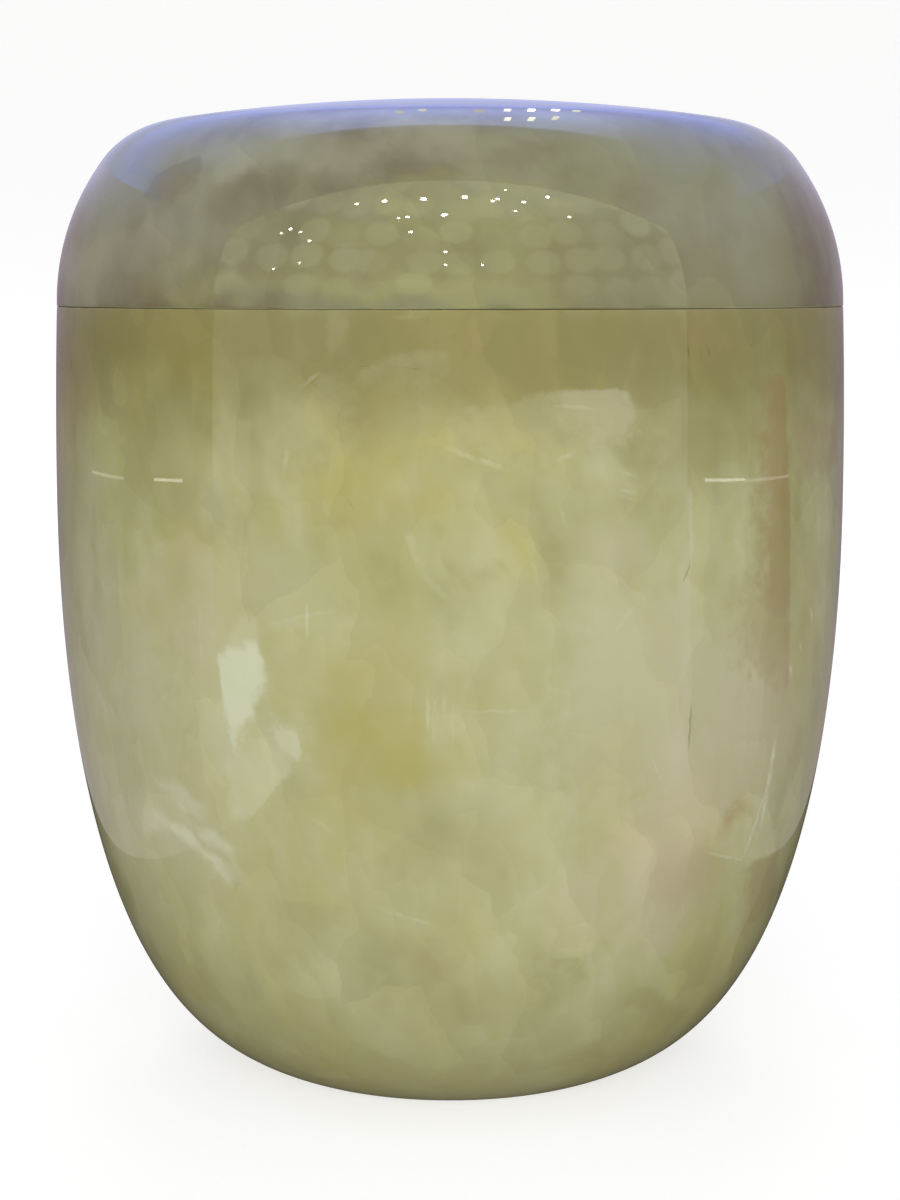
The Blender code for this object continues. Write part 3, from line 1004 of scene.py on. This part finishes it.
def quad(name, corners, material):
    """A flat stage surface."""
    return stage_mesh(name, corners, [(0, 1, 2, 3)], material)


def seen_by_gloss_only(card):
    card.visible_camera = False
    card.visible_diffuse = False
    card.visible_transmission = False
    card.visible_shadow = False
    card.visible_volume_scatter = False


def glow(name, colour_at):
    """A surface that shines in the colour that colour_at builds from its x, y and z."""
    material = bpy.data.materials.new(name)
    material.use_nodes = True
    tree = material.node_tree
    tree.nodes.remove(tree.nodes["Principled BSDF"])
    graph = Graph(tree)
    axes = graph.node("ShaderNodeSeparateXYZ")
    graph.put(axes.inputs[0], graph.node("ShaderNodeTexCoord").outputs["Object"])
    emission = tree.nodes.new("ShaderNodeEmission")
    graph.put(emission.inputs[0], colour_at(graph, *axes.outputs))
    tree.links.new(emission.outputs[0], tree.nodes["Material Output"].inputs[0])
    material.cycles.emission_sampling = "NONE"
    return material


def even(colour):
    """The same colour everywhere."""
    return lambda graph, x, y, z: graph.mix(0.0, colour, colour)


def side_colour(edge, low, high):
    """Pale near the floor, dim above it, cool under the hood, and warmer behind an upright edge."""

    def colour(graph, x, y, z):
        tone = graph.mix(graph.ease(z, 0.0, 0.13), low, SIDE_MIDDLE)
        tone = graph.mix(graph.ease(z, 0.17, 0.225), tone, SIDE_UPPER)
        tone = graph.mix(graph.ease(z, 0.235, 0.295), tone, high)
        past = graph.ease(y, edge - 0.0005, edge + 0.0005)
        behind = graph.math("MULTIPLY", past, graph.ease(z, 0.21, 0.25, 0.5, 0.1))
        return graph.mix(behind, tone, SIDE_BEHIND)

    return colour


def table_colour(graph, x, y, z):
    """Dark near the urn, and as bright as the open front far out."""
    return graph.mix(graph.ease(graph.math("ABSOLUTE", y), 0.30, 1.90, 0.0, 1.0), TABLE, OPENING_LOW)


def hood_colour(graph, x, y, z):
    """Dim and cool, with a bright strip whose front edge is crisp."""
    tone = graph.mix(graph.ease(y, -0.100, -0.045), HOOD_FRONT, HOOD_MIDDLE)
    tone = graph.mix(graph.ease(y, 0.03, 0.13), tone, HOOD_BACK)
    dimmed = graph.math("MAXIMUM", graph.ease(x, -0.02, 0.02, 0.0, 0.6), graph.ease(y, 0.01, -0.045))
    dimmed = graph.math("MULTIPLY", dimmed, graph.ease(graph.math("ABSOLUTE", x), 0.095, 0.150))
    tone = graph.mix(dimmed, tone, HOOD_EDGE)
    across = graph.ease(graph.math("ABSOLUTE", x), 0.085, 0.030)
    crisp = graph.ease(y, STRIP_FRONT - 0.003, STRIP_FRONT + 0.003)
    along = graph.math("MULTIPLY", crisp, graph.ease(y, 0.005, -0.045))
    return graph.mix(graph.math("MULTIPLY", across, along), tone, HOOD_STRIP)


def opening_colour(graph, x, y, z):
    """What lies in front of the niche: soft and even, with rows of rounded cells above eye level."""
    turn = graph.math("ARCTAN2", x, graph.math("MULTIPLY", y, -1.0))
    rise = graph.math("ARCSINE", graph.math("DIVIDE", z, OPENING_RADIUS))
    joined = graph.node("ShaderNodeCombineXYZ")
    graph.put(joined.inputs[0], turn)
    graph.put(joined.inputs[1], rise)
    node = graph.node("ShaderNodeTexVoronoi", voronoi_dimensions="2D")
    graph.put(node.inputs["Vector"], joined.outputs[0])
    graph.put(node.inputs["Scale"], 1 / CELL_ANGLE)
    graph.put(node.inputs["Randomness"], 0.40)
    cells = graph.ease(node.outputs["Distance"], 0.54, 0.36, 0.0, 0.75)
    uneven = graph.math("MULTIPLY", cells, graph.ease(node.outputs["Color"], 0.1, 0.8, 0.35, 1.0))
    shown = graph.math("MULTIPLY", graph.ease(rise, 0.10, 0.28), uneven)
    tone = graph.mix(graph.ease(z, 0.6, 1.9), OPENING_LOW, OPENING_HIGH)
    tone = graph.mix(graph.ease(z, 1.35, 1.60), tone, OPENING_TOP)
    return graph.mix(shown, tone, OPENING_CELL)


def lamps(photograph):
    """Small lamps far in front, each where the polish mirrors it at its noted place."""
    material = glow("stage_lamp", even(LAMP_LIGHT))
    for index, (noted, size) in enumerate(GLINTS):
        drawn = bmesh.new()
        bmesh.ops.create_icosphere(drawn, subdivisions=1, radius=size / MM)
        mesh = bpy.data.meshes.new("stage_lamp_%02d" % index)
        drawn.to_mesh(mesh)
        drawn.free()
        place, mirrored = photograph.mirrored(*noted)
        lamp = bpy.data.objects.new(mesh.name, mesh)
        lamp.location = place + LAMP_DISTANCE * mirrored
        lamp.data.materials.append(material)
        bpy.context.scene.collection.objects.link(lamp)
        seen_by_gloss_only(lamp)


def spots(photograph, height):
    """Small cards under the hood at a height, each where the crown mirrors it at its noted place."""
    cards = []
    for index, (noted, half, share) in enumerate(SPOTS):
        place, mirrored = photograph.mirrored(*noted)
        middle = place + mirrored * ((height - place.z) / mirrored.z)
        name = "stage_spot_%02d" % index
        light = tuple(share * part for part in SPOT_LIGHT)
        across, along = half[0] / MM, half[1] / MM
        corners = [
            (middle.x + right * across, middle.y + back * along, height)
            for right, back in ((-1, -1), (1, -1), (1, 1), (-1, 1))
        ]
        cards.append(quad(name, corners, glow(name, even(light))))
    return cards


def niche(photograph):
    """The cards that only the polish mirrors: a dark table, two sides, a hood, a back and the open front."""
    side, front, rear, top = NICHE_SIDE, NICHE_FRONT, NICHE_REAR, NICHE_TOP
    wide, under = TABLE_REACH, -TABLE_DROP
    table = [(-wide, -wide, under), (wide, -wide, under), (wide, wide, under), (-wide, wide, under)]
    left = [(-side, front, 0), (-side, rear, 0), (-side, rear, top), (-side, front, top)]
    right = [(side, front, 0), (side, rear, 0), (side, rear, top), (side, front, top)]
    hood = [(-side, front, top), (side, front, top), (side, rear, top), (-side, rear, top)]
    back = [(-side, rear, 0), (side, rear, 0), (side, rear, top), (-side, rear, top)]
    surfaces = (
        ("stage_table", table, table_colour),
        ("stage_side_left", left, side_colour(LEFT_EDGE, LEFT_LOW, LEFT_TOP)),
        ("stage_side_right", right, side_colour(RIGHT_EDGE, RIGHT_LOW, RIGHT_TOP)),
        ("stage_hood", hood, hood_colour),
        ("stage_rear", back, even(REAR)),
    )
    cards = [quad(name, corners, glow(name, colour_at)) for name, corners, colour_at in surfaces]
    for name, sign, start, end, light in STRIPS:
        x = sign * (side - CARD_GAP)
        low, high = STRIP_LOW, STRIP_HIGH
        strip = [(x, start, low[0]), (x, end, low[1]), (x, end, high[1]), (x, start, high[0])]
        cards.append(quad("stage_strip_" + name, strip, glow("stage_strip_" + name, even(light))))
    cards += spots(photograph, top - CARD_GAP)
    verts = [(0, 0, OPENING_RADIUS)]
    for ring in range(1, OPENING_RINGS + 1):
        fall = pi / 2 * OPENING_DIP * ring / OPENING_RINGS
        across = OPENING_RADIUS * sin(fall)
        for step in range(OPENING_STEPS):
            turn = 2 * pi * step / OPENING_STEPS
            verts.append((across * cos(turn), across * sin(turn), OPENING_RADIUS * cos(fall)))
    faces = turned_faces(OPENING_RINGS, OPENING_STEPS)
    cards.append(stage_mesh("stage_opening", verts, faces, glow("stage_opening", opening_colour)))
    for each in cards:
        seen_by_gloss_only(each)
    lamps(photograph)


def turned_faces(rings, around):
    """Faces of a turned surface whose first vertex is its middle and whose rings follow it."""
    faces = [(0, 1 + step, 1 + (step + 1) % around) for step in range(around)]
    for ring in range(rings - 1):
        first = 1 + ring * around
        for step in range(around):
            after = (step + 1) % around
            faces.append((first + step, first + around + step, first + around + after, first + after))
    return faces


def stage_mesh(name, verts, faces, material):
    """A stage surface, linked into the scene."""
    mesh = bpy.data.meshes.new(name)
    mesh.from_pydata(verts, [], faces)
    mesh.shade_smooth()
    surface = bpy.data.objects.new(name, mesh)
    surface.data.materials.append(material)
    bpy.context.scene.collection.objects.link(surface)
    return surface


def floor_and_backdrop():
    """A pale floor that curves up into a pale wall all round, which the gloss doesn't see."""
    material = bpy.data.materials.new("stage_pale")
    material.use_nodes = True
    graph = Graph(material.node_tree)
    shader = material.node_tree.nodes["Principled BSDF"]
    place = graph.node("ShaderNodeTexCoord").outputs["Object"]
    graph.put(shader.inputs["Base Color"], graph.mix(graph.noise(place, 3, 4), FLOOR_DIM, FLOOR_PALE))
    shader.inputs["Roughness"].default_value = 0.9
    shader.inputs["Emission Color"].default_value = (1, 1, 1, 1)
    shader.inputs["Emission Strength"].default_value = FLOOR_GLOW
    material.cycles.emission_sampling = "NONE"
    outline = [(0, 0), (0.4, 0), (0.9, 0), (1.3, 0)]
    outline += arc((1.3, 0.5), 0.5, -pi / 2, 0, 10)[1:] + [(1.8, 1.2), (1.8, 2.0)]
    verts = [(0, 0, 0)]
    around = 64
    for radius, height in outline[1:]:
        for step in range(around):
            turn = 2 * pi * step / around
            verts.append((radius * cos(turn), radius * sin(turn), height))
    floor = stage_mesh("stage_floor", verts, turned_faces(len(outline) - 1, around), material)
    floor.visible_glossy = False
    floor.visible_diffuse = False
    floor.visible_shadow = False


def key(name, place, power):
    """A wide soft light that the gloss doesn't mirror."""
    data = bpy.data.lights.new(name, "AREA")
    data.shape = "DISK"
    data.size = 1.6 if place[1] > 0 else 1.2
    data.energy = power
    data.color = KEY_LIGHT
    light = bpy.data.objects.new(name, data)
    light.location = place
    light.rotation_euler = (Vector((0, 0, 0.12)) - Vector(place)).to_track_quat("-Z", "Y").to_euler()
    light.visible_glossy = False
    light.visible_camera = False
    bpy.context.scene.collection.objects.link(light)


def studio(photograph):
    """The light, the floor and the mirrored niche."""
    scene = bpy.context.scene
    scene.view_settings.view_transform = "Standard"
    world = bpy.data.worlds.new("studio")
    scene.world = world
    world.use_nodes = True
    graph = Graph(world.node_tree)
    axes = graph.node("ShaderNodeSeparateXYZ")
    graph.put(axes.inputs[0], graph.node("ShaderNodeTexCoord").outputs["Generated"])
    sky = graph.mix(graph.ease(axes.outputs[2], 0.0, 1.0), (1.0, 0.97, 0.93), (0.90, 0.95, 1.10))
    graph.put(world.node_tree.nodes["Background"].inputs[0], sky)
    world.node_tree.nodes["Background"].inputs[1].default_value = SKY_STRENGTH
    key("key_front", (0.0, -1.5, 0.50), KEY_FRONT)
    key("key_back", (0.0, 2.3, 0.90), KEY_BACK)
    floor_and_backdrop()
    niche(photograph)


def camera():
    """The photograph's camera."""
    data = bpy.data.cameras.new("camera")
    data.lens = FOCAL_PIXELS / IMAGE_HEIGHT * SENSOR
    data.sensor_width = SENSOR
    eye = bpy.data.objects.new("camera", data)
    eye.location = EYE
    eye.rotation_euler = (AIM - EYE).to_track_quat("-Z", "Y").to_euler()
    bpy.context.scene.collection.objects.link(eye)
    bpy.context.scene.camera = eye


def main():
    body = turned("urn_body_stone", body_profile(), 0.0, BODY_HEIGHT, 3.1)
    lid = turned("urn_lid_stone", lid_profile(), BODY_HEIGHT + SEAT_GAP, BODY_HEIGHT + SEAT_GAP, 8.7)

    def plain_in_body(middle, normal):
        outward = middle.x * normal.x + middle.y * normal.y
        return outward < -1e-6 or normal.z > 0.999 or normal.z < -0.98 and middle.z < 0.0008

    def plain_in_lid(middle, normal):
        outward = middle.x * normal.x + middle.y * normal.y
        return normal.z < -0.3 or middle.z < BODY_HEIGHT or outward < -1e-6 and normal.z < 0.2

    photograph = Photograph((body, lid))
    veins = streak_sets([photograph.streak(mark, VEIN_SHARE) for mark in VEINS])
    paint(body, False, photograph, veins)
    paint(lid, True, photograph, veins)
    give_materials(body, stone("onyx_body", False, veins), honed("onyx_body_honed", BASE), plain_in_body)
    give_materials(lid, stone("onyx_lid", True, veins), honed("onyx_lid_honed", LID_BASE), plain_in_lid)
    for piece, node in ((body, "urn_body"), (lid, "urn_lid")):
        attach(piece, "root")
        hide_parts(node)
    studio(photograph)
    camera()


main()
